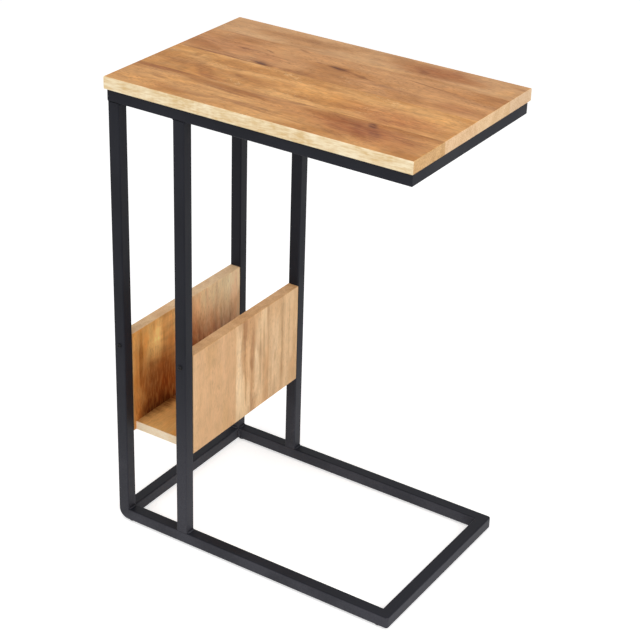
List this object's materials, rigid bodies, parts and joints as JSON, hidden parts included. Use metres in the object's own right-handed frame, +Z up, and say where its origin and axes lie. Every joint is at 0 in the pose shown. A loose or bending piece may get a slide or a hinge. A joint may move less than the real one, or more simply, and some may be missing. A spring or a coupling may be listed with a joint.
{
  "type": "c-shaped side table with magazine rack",
  "caption": "C-shaped side table: solid wood top on a black square-tube steel frame whose base slides under a sofa, with a wooden magazine rack between the posts.",
  "frame": {"origin": "on the floor, under the middle of the bounding box, which is also the middle of the top", "axes": "+Z up, from the glides' undersides to the tabletop; X along the table's length, with the posts and the rack at -X and the open side of the C at +X; Y across its depth"},
  "size_m": [0.418, 0.272, 0.62],
  "materials": {
    "frame_metal": "black semi-gloss powder coat",
    "top_wood_1": "clear satin lacquer, warm honey brown",
    "top_wood_2": "clear satin lacquer, warm honey brown",
    "top_wood_3": "clear satin lacquer, warm honey brown",
    "top_wood_4": "clear satin lacquer, warm honey brown",
    "rack_wood": "clear satin lacquer, warm honey brown",
    "screw_black": "black-coated steel",
    "screw_zinc": "zinc-plated steel",
    "glide_plastic": "black moulded polyethylene"
  },
  "bodies": {
    "root": {"front_leg": "frame_metal", "back_leg": "frame_metal", "front_inner_post": "frame_metal", "back_inner_post": "frame_metal", "base_rail_left": "frame_metal", "base_rail_right": "frame_metal", "top_rail_front": "frame_metal", "top_rail_back": "frame_metal", "top_rail_left": "frame_metal", "top_rail_right": "frame_metal", "top_tab_front_left": "frame_metal", "top_tab_front_right": "frame_metal", "top_tab_back_left": "frame_metal", "top_tab_back_right": "frame_metal", "inner_post_welds": "frame_metal", "base_welds": "frame_metal", "top_frame_welds": "frame_metal", "top_board_1": "top_wood_1", "top_board_2": "top_wood_2", "top_board_3": "top_wood_3", "top_board_4": "top_wood_4", "rack_outer_stave_1": "rack_wood", "rack_outer_stave_2": "rack_wood", "rack_outer_stave_3": "rack_wood", "rack_inner_stave_1": "rack_wood", "rack_inner_stave_2": "rack_wood", "rack_inner_stave_3": "rack_wood", "rack_shelf": "rack_wood", "rack_screws_front": "screw_black", "rack_screws_back": "screw_black", "top_screws": "screw_zinc", "glide_front_left": "glide_plastic", "glide_front_right": "glide_plastic", "glide_back_left": "glide_plastic", "glide_back_right": "glide_plastic"}
  },
  "joints": []
}
